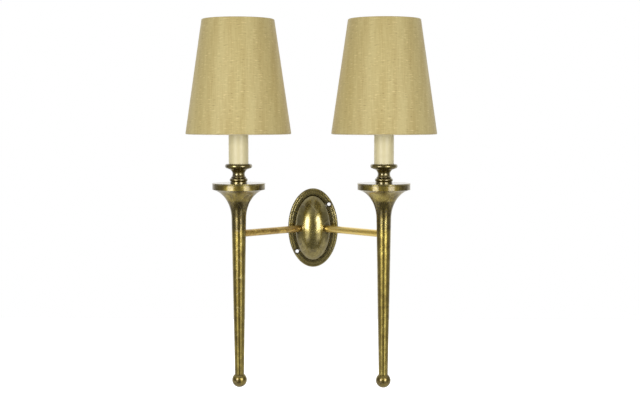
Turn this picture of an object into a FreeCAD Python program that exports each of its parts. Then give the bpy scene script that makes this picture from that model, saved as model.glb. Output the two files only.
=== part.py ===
# Double arm wall sconce in antique brass, with two candle lamps under tapered fabric shades.
# Frame: origin on the wall at the centre of the oval backplate, +Z up, +X to the right,
# the light stands out from the wall towards -Y. Millimetres and degrees.

import FreeCAD
import Part
import math
import os

V = FreeCAD.Vector
UP = V(0, 0, 1)

# ---------------------------------------------------------------- driving dimensions
# where the candles stand
arm_spread = 97.0            # candle axis from the middle of the light, along the wall
arm_projection = 95.0        # candle axis from the wall

# clearances
fit_gap = 0.05               # round fits between pieces that stay together
slide_gap = 0.3              # round pieces that slide or lie against each other
laminate_gap = 0.1           # between the layers of the shade
blind_gap = 0.5              # blind holes are deeper than their screws by this
overrun = 1.0                # cutters run past a face by this

# oval backplate: two-tier rim, groove, hollow dome
plate_width = 70.5
plate_height = 111.5
edge_tier_width = 4.3
edge_tier_height = 5.4
edge_tier_round = 2.6
inner_tier_width = 2.7
inner_tier_height = 6.9
inner_tier_round = 0.9
groove_width = 2.1
groove_floor = 3.2           # metal left under the groove, from the wall
dome_depth = 28.0            # apex of the dome from the wall
dome_foot = 4.0              # height of the straight foot of the dome
plate_wall = 2.6             # wall of the hollow dome
screw_circle = 80.4          # diameter of the circle that the two wall screws lie on
screw_angle = 56.0           # of the upper screw, from the +X axis
screw_hole_radius = 2.4
countersink_radius = 3.7
countersink_depth = 1.6

# arms: tube with a shoulder and a threaded spigot that is clamped in the dome
arm_diameter = 9.6
arm_bore = 5.5
spigot_diameter = 8.0
spot_face_diameter = 14.6
spot_face_depth = 1.9
boss_diameter = 18.0
boss_thickness = 4.4
washer_thickness = 1.2
washer_diameter = 14.0
arm_nut_width = 12.0
arm_nut_thickness = 4.2
spigot_proud = 1.6           # spigot past its nut
arm_socket_wall = 1.0        # metal left between the arm's end and the stem's bore

# stem: trumpet on a long taper
rim_diameter = 70.3
rim_top = 66.2
rim_band = 6.8
flare_height = 39.3
flare_swing = 4.6            # centre of the flare's curve, outside the band
neck_radius = 9.85
tip_radius = 6.25
tip_drop = 190.1             # stem's tip below the arms
rim_round = 0.5
trumpet_wall = 3.2
mouth_wall = 3.6
neck_thread = 14.0           # length of the nipple's thread in the neck
stem_bore = 8.0
stem_bore_below = 5.2        # depth of the bore below the arm's axis

# ball finial
ball_diameter = 20.1
ball_spigot_diameter = 5.0
ball_spigot_length = 9.0
ball_seat_inset = 0.15       # the ball's flat is smaller than the stem's tip by this

# drip plate
drip_overhang = 0.55
drip_thickness = 1.8
drip_spigot_height = 1.6
drip_spigot_width = 3.0

# candle cup, heights above the drip plate
cup_base_radius = 11.4
cup_foot_height = 1.5
cup_foot_bevel = 0.7
cup_bead_radius = 12.1
cup_bead_height = 4.6
cup_ring_radius = 10.2
cup_ring_low = 6.9
cup_ring_high = 8.5
cup_ring_groove = 0.8        # grooves beside the ring are this deep
cup_waist_radius = 8.3
cup_waist_height = 12.0
cup_under_lip_radius = 14.0
cup_under_lip_height = 18.9
cup_under_lip_bead = 1.4     # width of the small bead under the lip
cup_under_lip_rise = 0.7
cup_lip_radius = 18.3
cup_lip_height = 22.9
cup_lip_flat = 1.9           # top of the lip is narrower than its widest point by this
cup_height = 25.6
cup_recess_depth = 3.1
cup_recess_bevel = 0.3

# threaded nipple and its nut
nipple_diameter = 10.0
nipple_bore = 7.5
nipple_nut_width = 14.0
nipple_nut_thickness = 3.5
nipple_proud = 3.0

# candle tube
candle_diameter = 26.4
candle_wall = 0.9
candle_length = 85.0
candle_lip_round = 0.4

# lampholder and its bracket
bracket_sheet = 1.0
bracket_foot_radius = 11.4
bracket_leg_width = 6.0
bracket_leg_spread = 10.4
bracket_overlap = 16.0       # leg beside the holder's body
holder_radius = 11.6
holder_length = 33.0
holder_floor = 4.5
holder_cavity_radius = 8.0
shell_thickness = 0.35
shell_length = 20.0
shell_lift = 3.6
contact_width = 4.0
contact_pad = 1.6            # half length of its raised end
contact_thickness = 0.5
contact_rise = 2.6
wire_hole_radius = 1.25
wire_hole_offset = 5.0

# candle lamp
cap_radius = 6.95
cap_wall = 0.4
cap_length = 20.5
cap_reveal = 1.0             # the cap stands this far out of the candle tube
cap_shoulder = 1.6
cap_tip_radius = 2.4
cap_tip_round = 0.5
cap_tip_height = 1.8
glass_radius = 17.5
glass_wall = 0.8
glass_neck_radius = 6.4
glass_lower_height = 32.0    # neck to the widest point
glass_upper_height = 47.0    # widest point to the tip
glass_tip_radius = 3.0
glass_neck_grip = 5.0
filament_stem_radius = 3.2
filament_stem_height = 12.0
filament_stem_flare = 2.0
filament_stem_round = 1.5
filament_radius = 0.9
filament_count = 4
filament_length = 26.0
filament_ring = 3.4
filament_seat = 2.0          # filaments start this far below the mount's top

# sprung clip on the lamp, its tilt pivot and the shade's spider
clip_wire = 1.8
clip_leg_angle = 45.0
crown_gap = 0.6              # between the lamp's tip and the clip's crown
crown_radius = 5.0
crown_thickness = 1.6
tab_thickness = 1.6
tab_width = 6.0
tab_rise = 4.8               # pivot above the crown
tab_above_pivot = 3.0
pin_diameter = 2.0
pin_head_radius = 1.9
pin_head_thickness = 0.8
ear_thickness = 1.2
ear_gap = 0.15
yoke_rise = 5.0              # underside of the yoke above the pivot
yoke_radius = 5.0
yoke_thickness = 1.4
spoke_diameter = 2.0
spoke_count = 3
spoke_turn = 90.0            # of the first spoke, from the arm's line

# tapered shade
shade_bottom_diameter = 141.0
shade_top_diameter = 96.5
shade_height = 151.6
shade_bottom_above_arms = 133.5
cover_thickness = 0.45
lining_thickness = 0.4
ring_wire = 2.0

# wiring
wire_diameter = 1.8
wire_spacing = 2.1
wire_insertion = 4.0         # conductor inside its brass barrel
wire_end_bend = 3.0
wire_entry_bend = 3.5        # into the arm, inner conductor
wire_column_bend = 4.0       # from the arm up the stem, inner conductor
wire_spread_bend = 25.0      # where the pair spreads to the lampholder
wire_spread_start = 6.0      # above the nipple
wire_spread_rise = 22.0
terminal_pitch = 10.0
terminal_first = 15.0        # lower pole above the arms
terminal_width = 13.0
terminal_margin = 5.0
terminal_thickness = 11.0
riser_gap = 1.9              # from the spigot's end to the nearer riser's axis
barrel_diameter = 5.0
barrel_bore = 3.5
barrel_length = 10.0
clamp_screw_radius = 1.4
clamp_screw_offset = 3.0
clamp_screw_depth = 1.2      # clamp screw's slotted end below the block's back
fixing_head_depth = 0.8      # fixing screw's head below the block's back
fixing_screw_radius = 1.5
fixing_head_radius = 2.6
fixing_head_thickness = 1.8
fixing_boss_radius = 3.6
fixing_thread = 5.0
earth_drop = 24.0
earth_boss_face = 12.0
earth_boss_radius = 4.2
earth_screw_radius = 2.0
earth_head_radius = 3.8
earth_head_thickness = 2.4
earth_thread = 7.0
earth_washer_radius = 4.4
earth_washer_thickness = 0.9
slot_width = 0.8
slot_depth = 0.9

# ---------------------------------------------------------------- derived places
reach = math.hypot(arm_spread, arm_projection)
arm_angle = math.degrees(math.atan2(arm_projection, arm_spread))
rim_width = edge_tier_width + inner_tier_width + groove_width
dome_width = plate_width - 2 * rim_width
dome_height = plate_height - 2 * rim_width
drip_base = rim_top
cup_base = drip_base + drip_thickness
candle_base = cup_base + cup_height - cup_recess_depth
candle_top = candle_base + candle_length
candle_inner_radius = candle_diameter / 2 - candle_wall
band_base = rim_top - rim_band
neck_level = band_base - flare_height
nipple_base = neck_level
nipple_top = candle_base + bracket_sheet + nipple_nut_thickness + nipple_proud
holder_base = candle_top - holder_length
shell_base = holder_base + holder_floor + shell_lift
cap_base = candle_top + cap_reveal - cap_length
cap_floor = cap_base + cap_tip_height + 1.5 * cap_shoulder + cap_wall
glass_base = cap_base + cap_length
glass_widest = glass_base + glass_lower_height
glass_top = glass_widest + glass_upper_height
crown_base = glass_top + crown_gap
pivot_level = crown_base + crown_thickness + tab_rise
yoke_base = pivot_level + yoke_rise
shade_base = shade_bottom_above_arms
shade_top = shade_base + shade_height


# ---------------------------------------------------------------- drawing helpers
def rz(radius, height):
    return V(radius, 0, height)


def outline(start, *steps):
    """Closed outline in the radius-height plane. A step (r, z) draws a straight line,
    a step ((r, z), (r, z)) an arc through the first point to the second."""
    edges = []
    here = rz(*start)
    for step in steps + (start,):
        if isinstance(step[0], tuple):
            through, there = rz(*step[0]), rz(*step[1])
            edges.append(Part.Arc(here, through, there).toShape())
        else:
            there = rz(*step)
            edges.append(Part.LineSegment(here, there).toShape())
        here = there
    return edges


def rounded(radius, height, bend):
    """Outline steps that round an upper outside corner over."""
    short = bend * (1 - math.sqrt(0.5))
    return (radius, height - bend), ((radius - short, height - short), (radius - bend, height))


def turned(edges):
    """Solid turned about the Z axis."""
    return Part.Face(Part.Wire(edges)).revolve(V(0, 0, 0), UP, 360)


def rod(radius, start, end):
    return Part.makeCylinder(radius, (end - start).Length, start, end - start)


def tube(outer, inner, start, end):
    return rod(outer, start, end).cut(rod(inner, start, end))


def hex_prism(width, start, end):
    """Hexagonal prism, width across flats."""
    axis = (end - start).normalize()
    side = axis.cross(UP)
    if side.Length < 0.5:
        side = V(1, 0, 0)
    side.normalize()
    other = axis.cross(side)
    corner = width / 2 / math.cos(math.radians(30))
    ring = []
    for k in range(7):
        turn = math.radians(60 * k)
        ring.append(start + side * (corner * math.cos(turn)) + other * (corner * math.sin(turn)))
    return Part.Face(Part.makePolygon(ring)).extrude(end - start)


def block(x0, x1, y0, y1, z0, z1):
    return Part.makeBox(x1 - x0, y1 - y0, z1 - z0, V(x0, y0, z0))


def oval_prism(width, height, back, front):
    """Upright elliptical prism between two distances from the wall."""
    centre = V(0, -back, 0)
    curve = Part.Ellipse(centre + V(0, 0, height / 2), centre + V(width / 2, 0, 0), centre)
    face = Part.Face(Part.Wire([curve.toShape()]))
    return face.extrude(V(0, back - front, 0))


def oval_tier(width, height, thickness, edge_round):
    """Elliptical plate on the wall with its front edge rounded over."""
    plate = oval_prism(width, height, 0, thickness)
    front_edges = [e for e in plate.Edges if e.BoundBox.YMax < -thickness + 0.01]
    return plate.makeFillet(edge_round, front_edges)


def dome_solid(width, height, apex):
    """Half ellipsoid on a straight elliptical foot, standing on the wall."""
    radius = width / 2
    foot = V(0, -dome_foot, 0)
    curve = Part.Ellipse(foot + V(radius, 0, 0), foot + V(0, dome_foot - apex, 0), foot)
    if apex - dome_foot > radius:
        curve = Part.Ellipse(foot + V(0, dome_foot - apex, 0), foot + V(-radius, 0, 0), foot)
        arc = Part.ArcOfEllipse(curve, math.pi * 1.5, math.pi * 2).toShape()
    else:
        arc = Part.ArcOfEllipse(curve, 0, math.pi / 2).toShape()
    side = Part.LineSegment(V(radius, 0, 0), V(radius, -dome_foot, 0)).toShape()
    axis = Part.LineSegment(V(0, -apex, 0), V(0, 0, 0)).toShape()
    floor = Part.LineSegment(V(0, 0, 0), V(radius, 0, 0)).toShape()
    half = Part.Face(Part.Wire([floor, side, arc, axis]))
    round_dome = half.revolve(V(0, 0, 0), V(0, 1, 0), 360)
    stretch = FreeCAD.Matrix()
    stretch.scale(V(1, 1, height / width))
    return round_dome.transformGeometry(stretch)


def slotted(screw, centre, radius):
    """Cuts a screwdriver slot into a screw of that head radius, centre on the head's face
    towards the wall."""
    half = slot_width / 2
    slot = block(-radius - overrun, radius + overrun, -slot_depth, overrun, -half, half)
    slot.translate(centre)
    return screw.cut(slot)


def along_arm(side, distance, height=0.0):
    """Point on the arm's line in plan, at a distance from the middle of the light."""
    return V(side * arm_spread, -arm_projection, 0) * (distance / reach) + UP * height


def on_candle(shape, side):
    """Places a piece drawn on the Z axis, its +X along the arm, on the candle's axis."""
    placed = shape.copy()
    turn = -arm_angle if side > 0 else arm_angle - 180
    placed.rotate(V(0, 0, 0), UP, turn)
    placed.translate(along_arm(side, reach))
    return placed


def routed(points, bends, radius):
    """Round conductor along straight runs joined by tangent arcs."""
    edges = []
    here = points[0]
    for k in range(1, len(points) - 1):
        before = (points[k] - points[k - 1]).normalize()
        after = (points[k + 1] - points[k]).normalize()
        half_turn = before.getAngle(after) / 2
        back = bends[k - 1] * math.tan(half_turn)
        start = points[k] - before * back
        end = points[k] + after * back
        inward = (after - before).normalize()
        centre = points[k] + inward * (bends[k - 1] / math.cos(half_turn))
        edges.append(Part.LineSegment(here, start).toShape())
        edges.append(Part.Arc(start, centre - inward * bends[k - 1], end).toShape())
        here = end
    edges.append(Part.LineSegment(here, points[-1]).toShape())
    path = Part.Wire(edges)
    section = Part.Wire([Part.Circle(points[0], points[1] - points[0], radius).toShape()])
    return path.makePipeShell([section], True, False)


# ---------------------------------------------------------------- backplate and its fittings
def dome_front(x, z):
    """Distance of the dome's inner face from the wall."""
    half_width = dome_width / 2 - plate_wall
    half_height = dome_height / 2 - plate_wall
    inside = 1 - (x / half_width) ** 2 - (z / half_height) ** 2
    return dome_foot + (dome_depth - plate_wall - dome_foot) * math.sqrt(inside)


def dome_entry():
    """Distance along an arm's line at which it leaves the dome's outer face."""
    ax = arm_spread / reach / (dome_width / 2)
    ay = arm_projection / reach / (dome_depth - dome_foot)
    shift = dome_foot / (dome_depth - dome_foot)
    a = ax * ax + ay * ay
    b = -2 * ay * shift
    c = shift * shift - 1
    return (-b + math.sqrt(b * b - 4 * a * c)) / (2 * a)


shoulder = dome_entry() - spot_face_depth
boss_face = shoulder - boss_thickness
nut_face = boss_face - washer_thickness
spigot_end = nut_face - arm_nut_thickness - spigot_proud
riser_middle = spigot_end - riser_gap - wire_spacing / 2
terminal_axis = riser_middle * arm_projection / reach
terminal_back = terminal_axis - terminal_thickness / 2
terminal_front = terminal_axis + terminal_thickness / 2
fixing_seat = terminal_back + fixing_head_depth + fixing_head_thickness


def backplate():
    step = edge_tier_width
    plate = oval_tier(plate_width, plate_height, edge_tier_height, edge_tier_round)
    inner = oval_tier(plate_width - 2 * step, plate_height - 2 * step, inner_tier_height,
                      inner_tier_round)
    plate = plate.fuse(inner)
    moat = 2 * (edge_tier_width + inner_tier_width)
    plate = plate.cut(oval_prism(plate_width - moat, plate_height - moat, groove_floor, dome_depth))
    dome = dome_solid(dome_width, dome_height, dome_depth)
    wall = 2 * plate_wall
    hollow = dome_solid(dome_width - wall, dome_height - wall, dome_depth - plate_wall)
    plate = plate.fuse(dome).cut(hollow)
    fixing_level = terminal_first + terminal_pitch / 2
    bosses = [rod(fixing_boss_radius, V(0, -terminal_front, fixing_level),
                  V(0, -dome_front(0, fixing_level) - plate_wall / 2, fixing_level)),
              rod(earth_boss_radius, V(0, -earth_boss_face, -earth_drop),
                  V(0, -dome_front(0, earth_drop) - plate_wall / 2, -earth_drop))]
    for side in (-1, 1):
        boss = rod(boss_diameter / 2, along_arm(side, boss_face), along_arm(side, dome_entry()))
        bosses.append(boss.common(dome))
    for boss in bosses:
        plate = plate.fuse(boss)
    for side in (-1, 1):
        plate = plate.cut(rod(spot_face_diameter / 2, along_arm(side, shoulder),
                              along_arm(side, 2 * shoulder)))
        plate = plate.cut(rod(spigot_diameter / 2 + fit_gap, along_arm(side, boss_face - overrun),
                              along_arm(side, shoulder + overrun)))
    plate = plate.cut(rod(fixing_screw_radius + fit_gap, V(0, -terminal_front, fixing_level),
                          V(0, -terminal_front - fixing_thread - blind_gap, fixing_level)))
    plate = plate.cut(rod(earth_screw_radius + fit_gap, V(0, -earth_boss_face, -earth_drop),
                          V(0, -earth_boss_face - earth_thread - blind_gap, -earth_drop)))
    for turn in (screw_angle, screw_angle + 180):
        x = screw_circle / 2 * math.cos(math.radians(turn))
        z = screw_circle / 2 * math.sin(math.radians(turn))
        plate = plate.cut(rod(screw_hole_radius, V(x, overrun, z), V(x, -dome_depth, z)))
        sink = Part.makeCone(screw_hole_radius, countersink_radius, countersink_depth,
                             V(x, countersink_depth - inner_tier_height, z), V(0, -1, 0))
        plate = plate.cut(sink)
    return plate.removeSplitter()


def terminal_levels():
    return [terminal_first, terminal_first + terminal_pitch]


def terminal_block():
    half = terminal_width / 2
    low, high = terminal_levels()
    middle = (low + high) / 2
    body = block(-half, half, -terminal_front, -terminal_back, low - terminal_margin, high + terminal_margin)
    for level in (low, high):
        body = body.cut(rod(barrel_diameter / 2 + fit_gap, V(-half - overrun, -terminal_axis, level),
                            V(half + overrun, -terminal_axis, level)))
        for x in (-clamp_screw_offset, clamp_screw_offset):
            body = body.cut(rod(clamp_screw_radius + fit_gap, V(x, 0, level), V(x, -terminal_axis, level)))
    body = body.cut(rod(fixing_screw_radius + 2 * fit_gap, V(0, 0, middle),
                        V(0, -terminal_front - overrun, middle)))
    return body.cut(rod(fixing_head_radius + 2 * fit_gap, V(0, 0, middle), V(0, -fixing_seat, middle)))


def terminal_barrels():
    barrels = []
    for level in terminal_levels():
        half = barrel_length / 2
        barrel = tube(barrel_diameter / 2, barrel_bore / 2,
                      V(-half, -terminal_axis, level), V(half, -terminal_axis, level))
        for x in (-clamp_screw_offset, clamp_screw_offset):
            barrel = barrel.cut(rod(clamp_screw_radius + fit_gap, V(x, 0, level),
                                    V(x, -terminal_axis, level)))
        barrels.append(barrel)
    return Part.makeCompound(barrels)


def terminal_screws():
    screws = []
    tip = terminal_axis - barrel_bore / 2 - fit_gap
    for level in terminal_levels():
        for x in (-clamp_screw_offset, clamp_screw_offset):
            top = V(x, -terminal_back - clamp_screw_depth, level)
            shank = rod(clamp_screw_radius, top, V(x, -tip, level))
            screws.append(slotted(shank, top, clamp_screw_radius))
    middle = sum(terminal_levels()) / 2
    top = V(0, fixing_head_thickness - fixing_seat, middle)
    head = rod(fixing_head_radius, top, V(0, -fixing_seat, middle))
    shank = rod(fixing_screw_radius, top, V(0, -terminal_front - fixing_thread, middle))
    screws.append(slotted(head.fuse(shank), top, fixing_head_radius))
    return Part.makeCompound(screws)


def earth_washer():
    face = V(0, -earth_boss_face, -earth_drop)
    return tube(earth_washer_radius, earth_screw_radius + fit_gap, face,
                face + V(0, earth_washer_thickness, 0))


def earth_screw():
    seat = V(0, earth_washer_thickness - earth_boss_face, -earth_drop)
    top = seat + V(0, earth_head_thickness, 0)
    head = rod(earth_head_radius, top, seat)
    shank = rod(earth_screw_radius, top, V(0, -earth_boss_face - earth_thread, -earth_drop))
    return slotted(head.fuse(shank), top, earth_head_radius)


# ---------------------------------------------------------------- arm and its fixings
arm_end = reach - stem_bore / 2 - arm_socket_wall


def arm(side):
    body = rod(arm_diameter / 2, along_arm(side, shoulder), along_arm(side, arm_end))
    spigot = rod(spigot_diameter / 2, along_arm(side, spigot_end), along_arm(side, shoulder + overrun))
    bore = rod(arm_bore / 2, along_arm(side, spigot_end - overrun), along_arm(side, arm_end + overrun))
    return body.fuse(spigot).cut(bore).removeSplitter()


def arm_washer(side):
    return tube(washer_diameter / 2, spigot_diameter / 2 + fit_gap,
                along_arm(side, boss_face), along_arm(side, nut_face))


def arm_nut(side):
    far = along_arm(side, nut_face - arm_nut_thickness)
    nut = hex_prism(arm_nut_width, along_arm(side, nut_face), far)
    return nut.cut(rod(spigot_diameter / 2 + fit_gap, along_arm(side, nut_face + overrun),
                       along_arm(side, spigot_end - overrun)))


# ---------------------------------------------------------------- stem, ball and drip plate
def flare_ellipse(wall):
    """Centre, half width and half height of the curve of the trumpet's side, or of a curve
    within it by a wall's thickness."""
    centre = rz(rim_diameter / 2 + flare_swing, neck_level)
    across = centre.x - neck_radius
    rise = flare_height / math.cos(math.asin(flare_swing / across))
    return centre, across + wall, rise + wall


def flare_arc(wall, high_turn, low_turn):
    """Part of that curve between two turns from its top: the neck lies at a quarter turn."""
    centre, across, rise = flare_ellipse(wall)
    top = centre + UP * rise
    side = centre - V(across, 0, 0)
    if rise >= across:
        return Part.ArcOfEllipse(Part.Ellipse(top, side, centre), high_turn, low_turn).toShape()
    quarter = math.pi / 2
    lying = Part.Ellipse(side, top, centre)
    return Part.ArcOfEllipse(lying, quarter - low_turn, quarter - high_turn).toShape()


def stem_outside():
    band = rim_diameter / 2
    band_turn = math.asin(flare_swing / flare_ellipse(0)[1])
    flare = flare_arc(0, band_turn, math.pi / 2)
    side, top = rounded(band, rim_top, rim_round)
    edges = [Part.LineSegment(rz(0, rim_top), rz(0, -tip_drop)).toShape(),
             Part.LineSegment(rz(0, -tip_drop), rz(tip_radius, -tip_drop)).toShape(),
             Part.LineSegment(rz(tip_radius, -tip_drop), rz(neck_radius, neck_level)).toShape(),
             flare,
             Part.LineSegment(rz(band, band_base), rz(*side)).toShape(),
             Part.Arc(rz(*side), rz(*top[0]), rz(*top[1])).toShape(),
             Part.LineSegment(rz(*top[1]), rz(0, rim_top)).toShape()]
    return turned(edges)


def trumpet_hollow():
    """Inside of the trumpet, a wall's thickness within the flare."""
    centre, across, rise = flare_ellipse(trumpet_wall)
    bottom = neck_level + neck_thread
    mouth = rim_diameter / 2 - mouth_wall
    low_turn = math.acos(neck_thread / rise)
    high_turn = math.asin((centre.x - mouth) / across)
    low = rz(centre.x - across * math.sin(low_turn), bottom)
    high = rz(mouth, neck_level + rise * math.cos(high_turn))
    over = rim_top + overrun
    edges = [Part.LineSegment(rz(0, over), rz(0, bottom)).toShape(),
             Part.LineSegment(rz(0, bottom), low).toShape(),
             flare_arc(trumpet_wall, high_turn, low_turn),
             Part.LineSegment(high, rz(mouth, over)).toShape(),
             Part.LineSegment(rz(mouth, over), rz(0, over)).toShape()]
    return turned(edges)


def stem():
    body = stem_outside().cut(trumpet_hollow())
    body = body.cut(rod(stem_bore / 2, rz(0, -stem_bore_below), rz(0, neck_level + overrun)))
    body = body.cut(rod(nipple_diameter / 2 + fit_gap, rz(0, nipple_base), rz(0, rim_top)))
    socket = arm_end - reach
    body = body.cut(rod(arm_diameter / 2 + fit_gap, V(-2 * neck_radius, 0, 0), V(socket, 0, 0)))
    body = body.cut(rod(arm_bore / 2, V(-2 * neck_radius, 0, 0), V(0, 0, 0)))
    tip = rod(ball_spigot_diameter / 2 + fit_gap, rz(0, -tip_drop - overrun),
              rz(0, ball_spigot_length + blind_gap - tip_drop))
    return body.cut(tip).removeSplitter()


def finial():
    radius = ball_diameter / 2
    drop = math.sqrt(radius ** 2 - (tip_radius - ball_seat_inset) ** 2)
    ball = Part.makeSphere(radius, rz(0, -tip_drop - drop))
    ball = ball.cut(block(-radius, radius, -radius, radius, -tip_drop, radius - tip_drop))
    spigot = rod(ball_spigot_diameter / 2, rz(0, -tip_drop - overrun), rz(0, ball_spigot_length - tip_drop))
    return ball.fuse(spigot).removeSplitter()


def drip_plate():
    r = rim_diameter / 2 + drip_overhang
    low, high = drip_base, drip_base + drip_thickness
    hole = nipple_diameter / 2 + fit_gap
    lug = rim_diameter / 2 - mouth_wall - fit_gap
    edge = drip_thickness / 2
    return turned(outline(
        (hole, low), (lug - drip_spigot_width, low), (lug - drip_spigot_width, low - drip_spigot_height),
        (lug, low - drip_spigot_height), (lug, low), (r - edge / 2, low),
        ((r, low + edge), (r - edge / 2, high)), (hole, high)))


def candle_cup():
    base = cup_base
    hole = nipple_diameter / 2 + fit_gap
    recess = candle_diameter / 2 + slide_gap
    floor = base + cup_height - cup_recess_depth
    foot = base + cup_foot_height
    bead = base + cup_bead_height
    ring_low = base + cup_ring_low
    ring_high = base + cup_ring_high
    groove = cup_ring_radius - cup_ring_groove
    waist = base + cup_waist_height
    under = base + cup_under_lip_height
    bead_edge = cup_under_lip_radius + cup_under_lip_bead
    lip = base + cup_lip_height
    top = base + cup_height
    return turned(outline(
        (hole, base), (cup_base_radius, base), (cup_base_radius, foot),
        (cup_base_radius - cup_foot_bevel, foot + cup_foot_bevel),
        ((cup_bead_radius, bead), (groove, ring_low)),
        ((cup_ring_radius, (ring_low + ring_high) / 2), (groove, ring_high)),
        ((cup_waist_radius, waist), (cup_under_lip_radius, under)),
        (bead_edge, under + cup_under_lip_rise),
        ((cup_lip_radius, lip), (cup_lip_radius - cup_lip_flat, top)),
        (recess + cup_recess_bevel, top), (recess, top - cup_recess_bevel), (recess, floor), (hole, floor)))


# ---------------------------------------------------------------- nipple, lampholder, candle tube
def nipple():
    return tube(nipple_diameter / 2, nipple_bore / 2, rz(0, nipple_base), rz(0, nipple_top))


def nipple_nut():
    low = candle_base + bracket_sheet
    nut = hex_prism(nipple_nut_width, rz(0, low), rz(0, low + nipple_nut_thickness))
    return nut.cut(rod(nipple_diameter / 2 + fit_gap, rz(0, low - overrun), rz(0, nipple_top)))


def holder_bracket():
    low = candle_base
    outer = bracket_leg_spread + bracket_sheet / 2
    inner = bracket_leg_spread - bracket_sheet / 2
    half = bracket_leg_width / 2
    foot = rod(bracket_foot_radius, rz(0, low), rz(0, low + bracket_sheet))
    for x0, x1 in ((inner, outer), (-outer, -inner)):
        foot = foot.fuse(block(x0, x1, -half, half, low, holder_base + bracket_overlap))
    hole = rod(nipple_diameter / 2 + fit_gap, rz(0, low - overrun), rz(0, low + bracket_sheet + overrun))
    return foot.cut(hole).removeSplitter()


def holder_body():
    low, high = holder_base, candle_top
    body = rod(holder_radius, rz(0, low), rz(0, high))
    body = body.cut(rod(holder_cavity_radius, rz(0, low + holder_floor), rz(0, high + overrun)))
    half = bracket_leg_width / 2 + fit_gap
    inner = bracket_leg_spread - bracket_sheet / 2 - fit_gap
    outer = holder_radius + overrun
    for x0, x1 in ((inner, outer), (-outer, -inner)):
        body = body.cut(block(x0, x1, -half, half, low - overrun, low + bracket_overlap + fit_gap))
    for x in (-wire_hole_offset, wire_hole_offset):
        body = body.cut(rod(wire_hole_radius, rz(x, low - overrun), rz(x, low + holder_floor + overrun)))
    return body


def holder_shell():
    """Threaded metal sleeve that takes the lamp's cap."""
    outer = holder_cavity_radius - fit_gap
    return tube(outer, outer - shell_thickness, rz(0, shell_base), rz(0, shell_base + shell_length))


def holder_contact():
    """Sprung centre contact: a strip that rises from the floor to the lamp's tip."""
    floor = holder_base + holder_floor
    t = contact_thickness
    half = wire_hole_offset - wire_hole_radius - slide_gap
    rise = floor + contact_rise
    fold = half - 3 * t
    points = [rz(-half, floor), rz(half, floor), rz(half, floor + t), rz(-fold, floor + t),
              rz(contact_pad, rise), rz(contact_pad, rise + t), rz(t - contact_pad, rise + t),
              rz(-half, floor + t)]
    strip = Part.Face(Part.makePolygon(points + points[:1])).extrude(V(0, contact_width, 0))
    strip.translate(V(0, -contact_width / 2, 0))
    return strip


def candle_tube():
    outer, inner = candle_diameter / 2, candle_inner_radius
    low, high = candle_base, candle_top
    return turned(outline((inner, low), (outer, low), *rounded(outer, high, candle_lip_round), (inner, high)))


# ---------------------------------------------------------------- candle lamp
def bulb_cap():
    tip = cap_base
    top = cap_base + cap_length
    insulator = tip + cap_tip_height
    shoulder_foot = insulator + cap_shoulder / 2
    inner = cap_radius - cap_wall
    return turned(outline(
        (0, tip), (cap_tip_radius - cap_tip_round, tip), (cap_tip_radius, tip + cap_tip_round),
        (cap_tip_radius, insulator), (cap_radius - cap_shoulder, shoulder_foot),
        (cap_radius, shoulder_foot + cap_shoulder), (cap_radius, top), (inner, top), (inner, cap_floor),
        (0, cap_floor)))


def lamp_arcs(offset):
    """Lower and upper arcs of the lamp's outline, moved inwards or outwards by an offset:
    centre and radius of each, and the place of the rounded tip's centre."""
    rise = glass_lower_height
    run = glass_radius - glass_neck_radius
    lower_radius = (run ** 2 + rise ** 2) / (2 * run)
    height = glass_upper_height - glass_tip_radius
    span = glass_radius - glass_tip_radius
    upper_radius = (height ** 2 + glass_radius ** 2 - glass_tip_radius ** 2) / (2 * span)
    lower = (glass_radius - lower_radius, lower_radius + offset)
    upper = (glass_radius - upper_radius, upper_radius + offset)
    return lower, upper, glass_widest + height


def lamp_outline(offset, bottom):
    """Half outline of the lamp's glass, from its neck to its tip."""
    lower, upper, tip_centre = lamp_arcs(offset)
    neck = glass_neck_radius + offset
    low_turn = math.acos((neck - lower[0]) / lower[1])
    high_turn = math.asin((tip_centre - glass_widest) / (upper[1] - glass_tip_radius - offset))

    def on_arc(arc, turn):
        return arc[0] + arc[1] * math.cos(turn), glass_widest + arc[1] * math.sin(turn)

    start = on_arc(lower, -low_turn)
    side = on_arc(lower, 0)
    shoulder_point = on_arc(upper, high_turn)
    tip_radius_here = glass_tip_radius + offset
    half_turn = (high_turn + math.pi / 2) / 2
    through = (tip_radius_here * math.cos(half_turn), tip_centre + tip_radius_here * math.sin(half_turn))
    return turned(outline(
        (0, bottom), (neck, bottom), start, (on_arc(lower, -low_turn / 2), side),
        (on_arc(upper, high_turn / 2), shoulder_point), (through, (0, tip_centre + tip_radius_here))))


def bulb_glass():
    bottom = glass_base - glass_neck_grip
    return lamp_outline(0, bottom).cut(lamp_outline(-glass_wall, bottom - overrun))


def bulb_filament():
    """Glass mount that stands on the cap, with four upright filaments round it."""
    level = glass_base + filament_stem_height
    flare_radius = glass_neck_radius - glass_wall - slide_gap
    mount = turned(outline(
        (0, cap_floor), (flare_radius, cap_floor), (filament_stem_radius, glass_base + filament_stem_flare),
        *rounded(filament_stem_radius, level, filament_stem_round), (0, level)))
    for k in range(filament_count):
        turn = math.radians(45 + 360 / filament_count * k)
        spot = V(filament_ring * math.cos(turn), filament_ring * math.sin(turn), level - filament_seat)
        mount = mount.fuse(rod(filament_radius, spot, spot + UP * filament_length))
    return mount.removeSplitter()


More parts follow.
